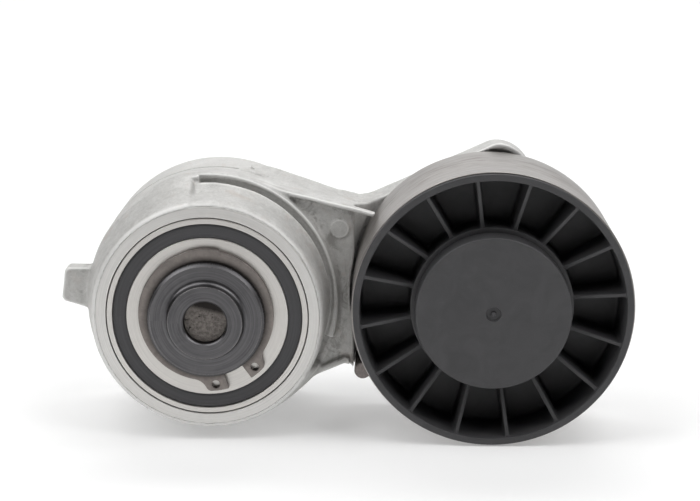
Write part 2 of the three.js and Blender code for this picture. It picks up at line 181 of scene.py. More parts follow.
class Field:
    """A box of signed distances in mm, negative inside. Shapes are added and cut with rounded joins."""

    def __init__(self, low, high, step):
        self.low = np.array(low, float)
        self.step = step
        axes = [np.arange(a, b + step, step, dtype=np.float32) for a, b in zip(low, high)]
        self.axes = axes
        self.x, self.y, self.z = axes[0][:, None, None], axes[1][None, :, None], axes[2][None, None, :]
        self.plan = axes[0][:, None], axes[2][None, :]
        self.value = np.full([len(a) for a in axes], 50.0, np.float32)

    def radius(self, x=0.0, z=0.0):
        return np.hypot(self.plan[0] - x, self.plan[1] - z)

    def turn(self):
        """Degrees about the axis, from +X towards +Z."""
        return np.degrees(np.arctan2(self.plan[1], self.plan[0]))

    def plan_at(self, plan):
        """A plan shape that runs through every y."""
        return plan[:, None, :]

    def outline(self, points):
        """Signed distance in plan to a closed outline of (x, z) points."""
        return outline_distance(points, *np.broadcast_arrays(*self.plan))

    def sector(self, start, end, reach=70, steps=24):
        """The plan between two angles in degrees."""
        return self.outline([(0, 0)] + arc(0, 0, reach, start, end, steps))

    def slab(self, plan, front, back, edge=0.0):
        """A plan shape between two y planes, its edges rounded."""
        depth = np.maximum(front - self.axes[1], self.axes[1] - back)[None, :, None]
        return meet(plan[:, None, :], depth, edge)

    def revolved(self, profile, swell):
        """A solid of revolution from a closed (r, y) profile, pushed out by the plan swell(y)."""
        radii = np.arange(0, 150, 0.25, dtype=np.float32)
        grid = outline_distance(profile, *np.meshgrid(radii, self.axes[1], indexing="ij"))
        made = np.empty(self.value.shape, np.float32)
        for j, y in enumerate(self.axes[1]):
            reach = np.maximum(self.radius() - swell(y), 0.0)
            made[:, j, :] = np.interp(reach.ravel(), radii, grid[:, j]).reshape(reach.shape)
        return made


def outline_distance(points, x, z):
    """Signed distance to a closed outline."""
    points = np.asarray(points, np.float32)
    best = np.full(x.shape, 1e9, np.float32)
    inside = np.zeros(x.shape, bool)
    for (ax, az), (bx, bz) in zip(points, np.roll(points, -1, axis=0)):
        dx, dz = bx - ax, bz - az
        length = dx * dx + dz * dz
        if length < 1e-12:
            continue
        t = np.clip(((x - ax) * dx + (z - az) * dz) / length, 0, 1)
        best = np.minimum(best, (x - ax - t * dx) ** 2 + (z - az - t * dz) ** 2)
        crosses = (az > z) != (bz > z)
        if crosses.any() and dz:
            inside ^= crosses & (x < ax + (z - az) * dx / dz)
    distance = np.sqrt(best)
    return np.where(inside, -distance, distance).astype(np.float32)


def join(a, b, fillet=0.0):
    """Union with a fillet of that radius."""
    if fillet <= 0:
        return np.minimum(a, b)
    u, v = np.maximum(fillet - a, 0), np.maximum(fillet - b, 0)
    return np.maximum(fillet, np.minimum(a, b)) - np.sqrt(u * u + v * v)


def meet(a, b, edge=0.0):
    """Intersection with an edge of that radius."""
    if edge <= 0:
        return np.maximum(a, b)
    u, v = np.maximum(edge + a, 0), np.maximum(edge + b, 0)
    return np.minimum(-edge, np.maximum(a, b)) + np.sqrt(u * u + v * v)


def cut(a, b, edge=0.0):
    return meet(a, -b, edge)


CORNERS = np.array([(i, j, k) for i in (0, 1) for j in (0, 1) for k in (0, 1)])  # of a cell


def skin(field):
    """Points and quads of a field's zero surface, one point in each cell that it crosses."""
    value = field.value
    inside = value < 0
    cells = np.array(value.shape) - 1
    count = np.zeros(cells, np.int8)
    for i, j, k in CORNERS:
        count += inside[i:i + cells[0], j:j + cells[1], k:k + cells[2]]
    cell = np.argwhere((count > 0) & (count < 8))
    number = np.full(cells, -1, np.int32)
    number[tuple(cell.T)] = np.arange(len(cell))
    total = np.zeros((len(cell), 3))
    hits = np.zeros(len(cell))
    for axis, along in enumerate(np.eye(3, dtype=int)):
        for corner in CORNERS[CORNERS[:, axis] == 0]:
            near = value[tuple((cell + corner).T)].astype(float)
            far = value[tuple((cell + corner + along).T)].astype(float)
            crossed = (near < 0) != (far < 0)
            t = np.where(crossed, near / np.where(crossed, near - far, 1), 0)
            total += (corner + t[:, None] * along) * crossed[:, None]
            hits += crossed
    quads = []
    for axis in range(3):
        edge = np.argwhere(np.diff(inside, axis=axis))
        u, v = (k for k in range(3) if k != axis)
        keep = np.all([(edge[:, k] > 0) & (edge[:, k] < cells[k]) for k in (u, v)], axis=0)
        edge = edge[keep]
        ring = []
        for du, dv in ((-1, -1), (0, -1), (0, 0), (-1, 0)):
            at = edge.copy()
            at[:, u] += du
            at[:, v] += dv
            ring.append(number[tuple(at.T)])
        quad = np.stack(ring, 1)
        solid_first = inside[tuple(edge.T)]
        flip = solid_first if axis == 1 else ~solid_first
        quad[flip] = quad[flip][:, ::-1]
        quads.append(quad)
    quads = np.concatenate(quads)
    points = field.low + (cell + total / hits[:, None]) * field.step
    return points, quads[(quads >= 0).all(1)]


def sample(field, points, values=None):
    """Trilinear values of a field, or of another array on its grid, at points."""
    values = field.value if values is None else values
    at = (points - field.low) / field.step
    base = np.clip(np.floor(at).astype(int), 0, np.array(values.shape) - 2)
    t = at - base
    out = 0.0
    for corner in CORNERS:
        weight = np.where(corner, t, 1 - t).prod(1)
        out = out + weight * values[tuple((base + corner).T)]
    return out


def arc(x, z, radius, start, end, steps=24):
    angles = np.radians(np.linspace(start, end, steps + 1))
    return [(x + radius * math.cos(a), z + radius * math.sin(a)) for a in angles]


# ---------------------------------------------------------------- materials

class Nodes:
    """Short hand for building a material's node tree on coordinates in mm about the piece's own origin."""

    def __init__(self, name):
        self.material = bpy.data.materials.new(name)
        self.material.use_nodes = True
        self.tree = self.material.node_tree
        self.shader = self.tree.nodes["Principled BSDF"]
        place = self.node("TexCoord").outputs["Object"]
        self.at = self.node("VectorMath", place, (1000.0, 1000.0, 1000.0), operation="MULTIPLY").outputs[0]

    def link(self, socket, value):
        if isinstance(value, bpy.types.NodeSocket):
            self.tree.links.new(value, socket)
        elif value is not None:
            socket.default_value = value

    def node(self, kind, *values, **settings):
        """A new node with these settings, its first inputs linked to or set to the values."""
        made = self.tree.nodes.new("ShaderNode" + kind)
        for key, value in settings.items():
            setattr(made, key, value)
        for socket, value in zip(made.inputs, values):
            self.link(socket, value)
        return made

    def math(self, operation, *values):
        return self.node("Math", *values, operation=operation).outputs[0]

    def noise(self, at, scale, detail=3.0, rough=0.55, distortion=0.0):
        node = self.node("TexNoise", at, noise_dimensions="3D")
        settings = {"Scale": scale, "Detail": detail, "Roughness": rough, "Distortion": distortion}
        for key, value in settings.items():
            node.inputs[key].default_value = value
        return node.outputs["Fac"]

    def spread(self, value, low, high, to_low=0.0, to_high=1.0):
        return self.node("MapRange", value, low, high, to_low, to_high, clamp=True).outputs["Result"]

    def blend(self, amount, a, b):
        node = self.node("Mix", data_type="RGBA")
        colours = [s for s in node.inputs if s.type == "RGBA"]
        self.link(node.inputs["Factor"], amount)
        self.link(colours[0], a if isinstance(a, bpy.types.NodeSocket) else (*a, 1.0))
        self.link(colours[1], b if isinstance(b, bpy.types.NodeSocket) else (*b, 1.0))
        return next(s for s in node.outputs if s.type == "RGBA")

    def attribute(self, name):
        return self.node("Attribute", attribute_name=name).outputs["Fac"]

    def scaled(self, value, factor):
        return self.math("MULTIPLY", value, factor)

    def about(self, value, middle, below, above):
        """A roughness that follows value between middle - below and middle + above."""
        return self.spread(value, 0.3, 0.7, middle - below, middle + above)

    def mixed(self, a, share_a, b, share_b):
        """a and b added, each by its share."""
        return self.math("ADD", self.scaled(a, share_a), self.scaled(b, share_b))

    def stretched(self, scales):
        """The coordinates, each scaled on its own."""
        return self.node("VectorMath", self.at, scales, operation="MULTIPLY").outputs[0]

    def parts(self):
        return self.node("SeparateXYZ", self.at).outputs

    def polar(self):
        """(radius, angle, y) about the piece's Y axis."""
        x, y, z = self.parts()
        radius = self.math("SQRT", self.mixed(x, x, z, z))
        return radius, self.math("ARCTAN2", z, x), y

    def pack(self, x, y, z):
        return self.node("CombineXYZ", x, y, z).outputs[0]

    def bump(self, height, strength, distance, below=None):
        node = self.node("Bump")
        node.inputs["Strength"].default_value = strength
        node.inputs["Distance"].default_value = distance * MM
        self.link(node.inputs["Height"], height)
        if below is not None:
            self.link(node.inputs["Normal"], below)
        return node.outputs["Normal"]

    def finish(self, colour=None, roughness=None, metallic=0.0, normal=None, specular=0.5, **more):
        put = self.shader.inputs
        self.link(put["Base Color"], colour)
        self.link(put["Roughness"], roughness)
        put["Metallic"].default_value = metallic
        put["Specular IOR Level"].default_value = specular
        if normal is not None:
            self.link(put["Normal"], normal)
        for key, value in more.items():
            put[key.replace("_", " ")].default_value = value
        return self.material


EDGE_WEAR_AND_HIGHLIGHT = (0.85, 0.845, 0.83)
WARM_CAST = (0.50, 0.44, 0.40)
STAIN_AND_SHADE = (0.21, 0.20, 0.185)
PIT_DIRT = (0.02, 0.018, 0.016)
BORE_PAINTED_SHADOW = (0.022, 0.018, 0.016)
SMUDGE = (0.235, 0.21, 0.195)
SEAL_DUST = (0.12, 0.12, 0.13)


def shaded(colour, factor):
    return tuple(factor * c for c in colour)


def cast_metal(name, light, dark, wear_and_painted_light=True):
    """Cast aluminium: clouds and grain. The flag pales the edges, partly edge wear and partly painted
    highlight, and darkens the hollows with painted shade and with stains laid only there.
    """
    n = Nodes(name)
    clouds = n.noise(n.at, 0.09, 4.0, 0.6, 0.6)
    mottle = n.noise(n.at, 0.55, 4.0, 0.65, 0.8)
    grain = n.noise(n.at, 2.4, 2.0, 0.6)
    colour = n.blend(n.spread(n.mixed(clouds, 0.45, mottle, 0.55), 0.36, 0.62), dark, light)
    colour = n.blend(n.spread(grain, 0.30, 0.42, 0.35, 0.0), colour, shaded(dark, 0.6))
    warm = n.noise(n.at, 0.16, 2.0, 0.5, 1.0)
    colour = n.blend(n.spread(warm, 0.60, 0.75, 0.0, 0.35), colour, WARM_CAST)
    if wear_and_painted_light:
        edge, recess = n.attribute("edge"), n.attribute("recess")
        # Painted highlight mixed with edge wear: the more convex the edge, the paler it is painted.
        colour = n.blend(n.spread(edge, 0.45, 1.3, 0.0, 0.65), colour, EDGE_WEAR_AND_HIGHLIGHT)
        # Painted shade in the hollows, where the recess measure is high, broken up by the clouds.
        painted_recess_shade = n.scaled(n.spread(recess, 0.55, 1.0), n.spread(clouds, 0.3, 0.6, 0.35, 0.75))
        colour = n.blend(painted_recess_shade, colour, shaded(dark, 0.62))
        # Stains laid only in the hollows, so that they also paint shade there.
        stain = n.spread(n.noise(n.at, 0.13, 5.0, 0.72, 1.8), 0.47, 0.60, 0.0, 0.62)
        colour = n.blend(n.scaled(stain, n.spread(recess, 0.12, 0.30)), colour, STAIN_AND_SHADE)
    roughness = n.spread(mottle, 0.3, 0.7, 0.48, 0.66)
    normal = n.bump(n.noise(n.at, 0.35, 3.0, 0.6, 0.5), 0.30, 0.35)
    normal = n.bump(n.math("ADD", grain, n.noise(n.at, 6.0, 1.0)), 0.35, 0.06, normal)
    return n.finish(colour, roughness, 0.40, normal)


def turned_metal(name, light, dark, roughness, pitch=0.35, depth=0.02, metallic=1.0, blotch=0.12, lines=()):
    """A turned face: fine rings about the axis, with slow blotches. lines gives thin circles in other tones,
    such as painted highlights along edges.
    """
    n = Nodes(name)
    radius, angle, y = n.polar()
    grooves = n.pack(n.scaled(radius, 1.0 / pitch), n.scaled(angle, 0.6), n.scaled(y, 1.0 / pitch))
    rings = n.noise(grooves, 1.0, 2.0, 0.6)
    slow = n.noise(n.at, blotch, 3.0, 0.6, 0.8)
    colour = n.blend(n.spread(n.mixed(rings, 0.6, slow, 0.4), 0.36, 0.64), dark, light)
    for at, half_width, amount, tone in lines:
        off = n.math("ABSOLUTE", n.math("SUBTRACT", radius, at))
        ticks = n.noise(n.pack(n.scaled(angle, 34.0), y, 0.0), 1.0, 1.0)
        seen = n.scaled(n.spread(off, 0.0, half_width, amount, 0.0), n.spread(ticks, 0.35, 0.60, 0.35, 1.0))
        colour = n.blend(seen, colour, tone)
    rough = n.about(slow, roughness, 0.05, 0.07)
    normal = n.bump(rings, 0.5, depth)
    normal = n.bump(n.noise(n.at, 5.0, 1.0), 0.25, 0.02, normal)
    return n.finish(colour, rough, metallic, normal)


def plain_metal(name, light, dark, roughness, metallic=1.0, scale=0.8, inner_shade=None):
    """Plain steel. An optional pair of radii bounds a painted shade that is darkest at the first radius and
    fades out by the second.
    """
    n = Nodes(name)
    mottle = n.noise(n.at, scale, 4.0, 0.65, 0.6)
    colour = n.blend(n.spread(mottle, 0.34, 0.66), dark, light)
    if inner_shade:
        wander = 1.2
        # Painted shade: darker towards the first radius, with a wandering border.
        shade_amount = n.math("ADD", n.polar()[0], n.scaled(n.noise(n.at, 0.7, 3.0, 0.6), wander))
        shade_amount = n.spread(shade_amount, inner_shade[0] + wander / 2, inner_shade[1] + wander / 2, 0.8, 0.0)
        colour = n.blend(shade_amount, colour, shaded(dark, 0.25))
    rough = n.about(mottle, roughness, 0.06, 0.08)
    return n.finish(colour, rough, metallic, n.bump(n.noise(n.at, 3.0, 3.0, 0.6), 0.3, 0.05))


def bore_disc_metal(name, light, dark, roughness, metallic=1.0, scale=0.8):
    """Sand-blasted disc with small pits, and a painted shadow along the upper edge of the bore."""
    n = Nodes(name)
    mottle = n.noise(n.at, scale, 4.0, 0.7, 0.4)
    colour = n.blend(n.spread(mottle, 0.36, 0.64), dark, light)
    pits = n.spread(n.noise(n.at, 0.62, 1.0, 0.5, 0.6), 0.27, 0.33, 0.85, 0.0)
    colour = n.blend(pits, colour, PIT_DIRT)
    # Painted shadow: darker towards the top of the disc, where the bore's upper edge would shade it, with a
    # mottled border.
    x, _, z = n.parts()
    height = n.math("ADD", z, n.scaled(x, 0.25))
    height = n.math("ADD", height, n.scaled(mottle, 2.0))
    colour = n.blend(n.spread(height, 4.4, 5.8, 0.0, 1.0), colour, BORE_PAINTED_SHADOW)
    rough = n.about(mottle, roughness, 0.06, 0.08)
    return n.finish(colour, rough, metallic, n.bump(mottle, 0.6, 0.12))


def moulded(name, light, dark, roughness, grain=0.05, specular=0.5):
    """Moulded plastic: fine spark-eroded grain, faint flow marks and scuffs."""
    n = Nodes(name)
    flow = n.noise(n.at, 0.12, 3.0, 0.55, 1.2)
    fine = n.noise(n.at, 4.0, 3.0, 0.65)
    colour = n.blend(n.spread(n.mixed(flow, 0.6, fine, 0.4), 0.36, 0.64), dark, light)
    scuff = n.spread(n.noise(n.stretched((0.25, 1.4, 0.9)), 1.0, 5.0, 0.7, 2.0), 0.66, 0.74, 0.0, 0.35)
    colour = n.blend(scuff, colour, tuple(min(1.0, 2.0 * c + 0.02) for c in light))
    rough = n.about(fine, roughness, 0.06, 0.10)
    return n.finish(colour, rough, 0.0, n.bump(fine, 0.45, grain), specular)


def tread_metal():
    """Rolled steel band: brushed round the pulley, with faint brownish bands of smudges."""
    n = Nodes("tread_steel")
    _, angle, y = n.polar()
    ring_x, ring_z = n.math("COSINE", angle), n.math("SINE", angle)

    def brushed(around, across, *noise):
        at = n.pack(n.scaled(ring_x, around), n.scaled(y, across), n.scaled(ring_z, around))
        return n.noise(at, 1.0, *noise)

    fine = brushed(6.0, 5.0, 3.0, 0.6)
    streak = brushed(5.0, 0.55, 4.0, 0.65, 0.5)
    colour = n.blend(n.spread(fine, 0.32, 0.68), (0.31, 0.295, 0.285), (0.39, 0.37, 0.355))
    band = n.scaled(n.spread(y, 8.0, 15.0), n.spread(y, 24.0, 31.0, 1.0, 0.0))
    band = n.math("ADD", n.scaled(band, 0.8), 0.2)
    colour = n.blend(n.scaled(n.spread(streak, 0.46, 0.66, 0.0, 0.8), band), colour, SMUDGE)
    rough = n.spread(streak, 0.3, 0.7, 0.34, 0.46)
    return n.finish(colour, rough, 0.95, n.bump(fine, 0.35, 0.02), Anisotropic=0.4)


def seal_rubber():
    """Black rubber with turned rings, dust and a few scratches."""
    n = Nodes("seal_rubber")
    radius, angle, y = n.polar()
    rings = n.noise(n.pack(n.scaled(radius, 2.2), n.scaled(angle, 0.8), y), 1.0, 2.0)
    dust = n.spread(n.noise(n.at, 1.6, 5.0, 0.75), 0.62, 0.70, 0.0, 0.30)
    scratch = n.noise(n.stretched((2.2, 1.0, 0.35)), 1.0, 4.0, 0.7, 1.5)
    scratch = n.spread(scratch, 0.68, 0.72, 0.0, 0.35)
    colour = n.blend(n.spread(rings, 0.35, 0.65), (0.052, 0.051, 0.054), (0.070, 0.069, 0.073))
    colour = n.blend(n.math("MAXIMUM", dust, scratch), colour, SEAL_DUST)
    return n.finish(colour, n.spread(rings, 0.3, 0.7, 0.52, 0.66), 0.0, n.bump(rings, 0.3, 0.05))


def floor_paper():
    """Pale paper that glows a little, so that it stays near white."""
    n = Nodes("floor_paper")
    n.shader.inputs["Emission Color"].default_value = (1.0, 1.0, 1.0, 1.0)
    n.shader.inputs["Emission Strength"].default_value = 0.30
    colour = n.blend(n.noise(n.at, 0.4, 2.0), (0.68, 0.68, 0.68), (0.72, 0.72, 0.72))
    return n.finish(colour, 0.9, 0.0, specular=0.1)


CAST = cast_metal("cast_aluminium", (0.62, 0.615, 0.60), (0.45, 0.445, 0.43))
CAST_PLAIN = cast_metal("cast_aluminium_base", (0.64, 0.635, 0.62), (0.52, 0.515, 0.50), wear_and_painted_light=False)
MACHINED = turned_metal("machined_aluminium", (0.74, 0.73, 0.71), (0.62, 0.61, 0.59), 0.42, 0.3, 0.015)
# Circles on the shaft's face: a painted highlight along the nose's front edge, a painted highlight along the
# chamfer's inner edge, and a dark serrated line at the outer edge.
SHAFT_LINES = (  # radius, half width, amount, colour
    (12.4, 0.28, 0.75, (0.30, 0.29, 0.29)),
    (18.65, 0.22, 0.6, (0.26, 0.25, 0.25)),
    (19.6, 0.35, 0.95, (0.02, 0.019, 0.019)),
)
SHAFT = turned_metal("dark_steel_turned", (0.150, 0.147, 0.152), (0.088, 0.086, 0.090), 0.38, 0.45, 0.02,
                     lines=SHAFT_LINES)
SCREW = plain_metal("dark_steel", (0.13, 0.13, 0.14), (0.07, 0.07, 0.078), 0.42)
RING = turned_metal("bearing_steel", (0.72, 0.70, 0.67), (0.60, 0.58, 0.555), 0.40, 0.22, 0.008, metallic=0.9)
CLIP = plain_metal("clip_steel", (0.25, 0.225, 0.21), (0.17, 0.153, 0.143), 0.42, 0.9, 0.3)
CIRCLIP = plain_metal("clip_steel_inner_shade", (0.27, 0.243, 0.227), (0.19, 0.171, 0.16), 0.42, 0.9, 0.3,
                      inner_shade=(19.7, 21.9))
PIN = plain_metal("pin_steel", (0.36, 0.32, 0.305), (0.22, 0.198, 0.19), 0.55, 0.8, 1.2)
PLUG = bore_disc_metal("plug_steel", (0.27, 0.245, 0.225), (0.11, 0.098, 0.09), 0.60, 0.6, 1.1)
TREAD = tread_metal()
SEAL = seal_rubber()
PLASTIC = moulded("black_plastic", (0.062, 0.061, 0.064), (0.046, 0.0455, 0.048), 0.50)
POLYMER = moulded("pale_polymer", (0.62, 0.57, 0.46), (0.50, 0.45, 0.35), 0.55)


def finish_of(node):
    """The material of a CAD node. Every node of a bearing, and its circlip, has the bearing's steel."""
    if "bearing" in node:
        return RING
    named = {"friction_ring": POLYMER, "thrust_washer": POLYMER, "pivot_bush": POLYMER,
             "spring_sleeve": PLASTIC, "pulley_wheel": PLASTIC, "dust_cap": PLASTIC,
             "shaft_screw_washer": CLIP, "pulley_spacer": CLIP, "pulley_tread": TREAD,
             "mounting_base": CAST_PLAIN, "tensioner_arm": CAST_PLAIN,
             "shaft_bore_plug": PLUG, "stop_pin": PIN}
    return named.get(node, SCREW)


for node_name, piece in frame["nodes"].items():
    piece.data.materials.clear()
    piece.data.materials.append(finish_of(node_name))


# ---------------------------------------------------------------- swing arm casting

# (x, z) of the stop pin, of the round pad on the web and of the lug on the end plate.
PIN_AT = (52.0, -25.3)
PAD_AT = (43.8, 25.4)
LUG_AT = (98.5, 40.4)
LUG_R = 12.5
WALL_AT = (-0.6, 1.8)  # centre of the thin wall outside the groove
WALL_IN_R, WALL_OUT_R = 42.3, 43.8
RIM_R = 37.7  # machined rim at the front
DRUM_BACK = 38.7
GROOVE_FRONT = 17.2
GROOVE_FLOOR_R = 39.8
GROOVE_FROM, GROOVE_TO = -31, 97  # degrees
WALL_FROM = -17
BASE_CLEAR_R = 44.3  # the arm stays outside this radius behind the drum
BELT_CLEAR_R = 48.1  # and outside this one round the pulley
FLANGE_Y = (20.5, 24.5)
WEB_Y = (22.5, 46.0)
PLATE_Y = (36.8, 46.0)

# (x, z) along the arm's upper side at the front of its flange, on the end plate's front and at its back.
TOP_FRONT = [
    (10, 43.4), (20, 40.7), (28.4, 38.1), (33.9, 36.9), (40.7, 35.1), (45.8, 33.9), (49.3, 33.1),
    (56.1, 31.1)]
TOP_PLATE = [
    (10, 43.9), (25.6, 39.6), (33, 37.6), (40, 35.4), (45.5, 33.4), (49.2, 31.9), (52, 31.3), (54, 31.5),
    (55.6, 32.2), (58.3, 33.5), (61.9, 35.3), (66, 37.3), (71.9, 40.3), (79, 43.9), (86, 47), (89.6, 48.7),
    (93, 50.3), (99, 53.2)]
TOP_BACK = [
    (10, 43.4), (14.9, 43.6), (18.5, 42.9), (22, 41.9), (25.6, 40.5), (32.7, 38.0), (39.8, 35.6), (47, 33.2),
    (50.6, 32.8), (54.1, 33.4), (57.7, 35), (61.3, 36.6), (64.8, 38.1), (71.9, 41.5), (79, 45), (86, 48),
    (89.6, 49.6), (93, 51.2), (99, 54.0)]
LOWER = [(48.8, -25.2), (47.4, -23.2), (45.6, -22.7), (34.6, -27.6), (26.0, -35.0)]


def arm_drum(f):
    """The drum, whole at the back and drawn in at the front beside the arm."""
    turn = f.turn()
    lean = np.sin(np.radians(turn)), np.cos(np.radians(turn))
    rise = np.clip((130.0 - turn) / 28.0, 0, 1) * (turn > 0)
    rise = rise * rise * (3 - 2 * rise) * np.maximum(1.9 * lean[0] - 0.6 * lean[1], 0)
    tilt = 1.4 * lean[0] - 0.6 * lean[1]
    nose = [(0, 0.15), (RIM_R, 0.15)]
    whole = nose + [(38.6, 0.9), (39.5, 3.0), (40.6, 7.0), (41.7, 11.0), (42.7, 14.5), (43.4, 18.0),
                    (43.8, 22.0), (43.8, DRUM_BACK), (0, DRUM_BACK)]
    small = nose + [(38.6, 0.85), (39.2, 1.8), (39.6, 4.5), (39.8, 8.5), (39.85, 11.5), (40.1, 13.5),
                    (40.6, 15.2), (41.35, 16.6), (41.35, 17.6), (0, 17.6)]
    rise_over = [5.0, 12.0, 20.5, 38.8], [0.0, 0.45, 1.0, 0.0]  # y, and how much of it there
    tilt_over = [10.0, 13.0, 16.6], [0.0, 0.25, 1.0]
    full = f.revolved(whole, lambda y: rise * float(np.interp(y, *rise_over)))
    drawn_in = f.revolved(small, lambda y: tilt * float(np.interp(y, *tilt_over)))
    beside_arm = f.plan_at(f.sector(GROOVE_FROM, GROOVE_TO))
    front = join(cut(np.maximum(full, f.y - 18.0), beside_arm, 2.2), drawn_in, 1.2)
    return np.minimum(front, np.maximum(full, GROOVE_FRONT - f.y))


def arm_groove(f):
    """The arc groove, which narrows towards its upper end, with the thin wall's inner side."""
    r = f.radius()
    narrow = np.clip((f.turn() - 62) / 32, 0, 1)
    inner = meet(GROOVE_FLOOR_R + 0.45 * narrow - r, f.sector(GROOVE_FROM, 94.6), 1.6)
    floor = np.maximum(inner, f.radius(*WALL_AT) - WALL_IN_R + 0.8 * narrow)
    open_end = np.maximum(GROOVE_FLOOR_R - r, f.sector(GROOVE_FROM, WALL_FROM))
    channel = np.minimum(f.slab(inner, GROOVE_FRONT, 18.6), f.slab(floor, GROOVE_FRONT, 19.2))
    return np.minimum(channel, f.slab(open_end, GROOVE_FRONT, 22.2))


def arm_roof(f):
    """How far each place is above the arm's sloping upper side, and that side's z over each x and y."""
    flat_x = f.axes[0]
    window = np.hanning(23)
    soft = window[1:-1] / window.sum()
    front_z, plate_z, back_z = (np.interp(flat_x, *zip(*line)) for line in (TOP_FRONT, TOP_PLATE, TOP_BACK))
    plate_z, back_z = (np.convolve(np.pad(v, 10, "edge"), soft, "valid") for v in (plate_z, back_z))
    depths = (WEB_Y[0], PLATE_Y[0], WEB_Y[1])
    roof, roof_z = np.empty_like(f.value), np.empty((len(flat_x), len(f.axes[1]), 1), np.float32)
    for j, level in enumerate(f.axes[1]):
        top_z = np.array([np.interp(level, depths, line) for line in zip(front_z, plate_z, back_z)])
        slope = np.minimum(np.gradient(top_z, f.step), 1.2)
        roof_z[:, j, 0] = top_z
        roof[:, j, :] = (f.plan[1] - top_z[:, None]) / np.sqrt(1 + slope ** 2)[:, None]
    return roof, roof_z


def arm_neck(f, roof, roof_z):
    """The web between drum and end plate, with its flanges, clear of the drum's front and the base."""
    x, y = f.x, f.y
    web = f.slab(f.outline([(9, 30), (9, 50), (49.1, 50)] + LOWER + [(12, -34)]), *WEB_Y, 0.9)
    bend = 9.0 - np.hypot(x - 58.1, y - 27.8)
    gusset = np.maximum(np.maximum(np.maximum(48.0 - x, x - 58.0), np.maximum(28.0 - y, y - 40.0)), bend)
    gusset = np.maximum(gusset, f.plan_at(f.outline([(40, 50), (60, 50), (60, 4), (40, 4)])))
    web = meet(np.minimum(web, gusset), roof, 0.5)
    for edge, thick, corner, fillet in ((TOP_FRONT, -1.5, 0.5, 0.7), (LOWER[1:], 2.4, 0.7, 0.8)):
        flange = f.outline(edge + [(px, pz + thick) for px, pz in reversed(edge)])
        web = join(web, f.slab(flange, *FLANGE_Y, corner), fillet)
    web = cut(web, f.slab(f.radius() - BASE_CLEAR_R, 38.6, 70.0), 0.1)
    web = cut(web, np.maximum(38.6 - y, (np.hypot(x, roof_z) - 45.0) * 0.7), 0.2)
    return cut(web, f.slab(f.radius(*WALL_AT) - WALL_OUT_R, -5.0, 35.0), 0.3)


def arm_details(f, body):
    """The stop tab, the round pad, and the room for the belt."""
    tab = [(-38, 12.4), (-49.8, 12.4), (-50.9, 11.4), (-52.15, 1.7), (-51.3, 0.5), (-44, -1.8), (-38, -3.0)]
    body = join(body, f.slab(f.outline(tab), 17.0, 24.0, 0.8), 0.7)
    pad = f.radius(*PAD_AT)
    body = join(body, f.slab(pad - 3.45, 21.95, 24.0, 0.3), 0.25)
    body = cut(body, f.slab(pad - 2.5, 0.0, 22.1, 0.1), 0.2)
    return cut(body, f.slab(f.radius(*PULLEY_AT) - BELT_CLEAR_R, -5.0, 36.6, 0.8), 0.5)


def arm_plate(f, body, roof):
    """The end plate behind the pulley, the boss on it and the hollow lug at its upper corner."""
    outline = [(44, 60), (92.2, 60), (92.2, 51.2)] + arc(*LUG_AT, LUG_R, 120, 0)
    outline += arc(*PULLEY_AT, 29.0, 50, -118) + [(57, -30.5), (48.5, -27.5), (44, -20)]
    plate = meet(f.slab(f.outline(outline), *PLATE_Y, 0.8), roof, 0.35)
    body = join(body, plate, 1.0)
    body = join(body, f.slab(f.radius(*PULLEY_AT) - 14.0, 22.0, 40.0, 0.5), 3.0)
    lug_r = f.radius(*LUG_AT)
    body = cut(body, f.slab(lug_r - 10.3, 30.0, 38.2, 0.3), 0.5)
    return cut(body, f.slab(lug_r - 9.2, 30.0, 44.0, 0.6), 0.4)


def arm_unevenness(f, body):
    """A slow random wave over the casting, and three small burrs under the drum."""
    rng = np.random.default_rng(7)
    wave = np.zeros_like(f.value)
    for _ in range(7):
        way = rng.normal(size=3)
        way *= rng.uniform(0.25, 0.75) / np.linalg.norm(way)
        phase = rng.uniform(0, 2 * math.pi)
        wave += np.sin(way[0] * f.x + way[1] * f.y + way[2] * f.z + phase).astype(np.float32)
    body = body + 0.035 + 0.016 * wave
    for angle, size in ((-96.5, 0.75), (-70.6, 0.6), (-83.0, 0.55)):
        a = math.radians(angle)
        x, y, z = 42.9 * math.cos(a), 15.2, 42.9 * math.sin(a)
        burr = np.sqrt((f.x - x) ** 2 + ((f.y - y) / 1.3) ** 2 + (f.z - z) ** 2) - size
        body = join(body, burr, 0.2)
    return body


def arm_bores(f, body):
    """The rim's and the bearing's seats, the bush's bore, the spring's room and the holes of bolt and pin."""
    r = f.radius()
    seats = ((37.6, -9, 0.92), (36.05, -9, 15.3), (30.6, 10, 17.0), (22.9, 10, 60), (26.1, 38.0, 60))
    for radius, front, back in seats:
        body = cut(body, f.slab(r - radius, front, back))
    body = cut(body, f.slab(meet(26.0 - r, r - 36.2, 0.5), 20.0, 60.0, 0.8))
    body = cut(body, f.slab(r - BASE_CLEAR_R, 38.75, 70.0), 0.15)
    body = cut(body, f.slab(f.radius(*PULLEY_AT) - 5.9, 10, 60), 0.4)
    return cut(body, f.slab(f.radius(*PIN_AT) - 3.25, 10, 60), 0.3)


def arm_casting():
    f = Field((-54.0, -0.5, -46.0), (125.5, 47.5, 54.5), FINE)
    roof, roof_z = arm_roof(f)
    body = cut(arm_drum(f), arm_groove(f), 0.45)
    body = join(body, arm_neck(f, roof, roof_z), 1.6)
    body = arm_plate(f, arm_details(f, body), roof)
    body = arm_bores(f, arm_unevenness(f, body))
    f.value = body.astype(np.float32)
    return f


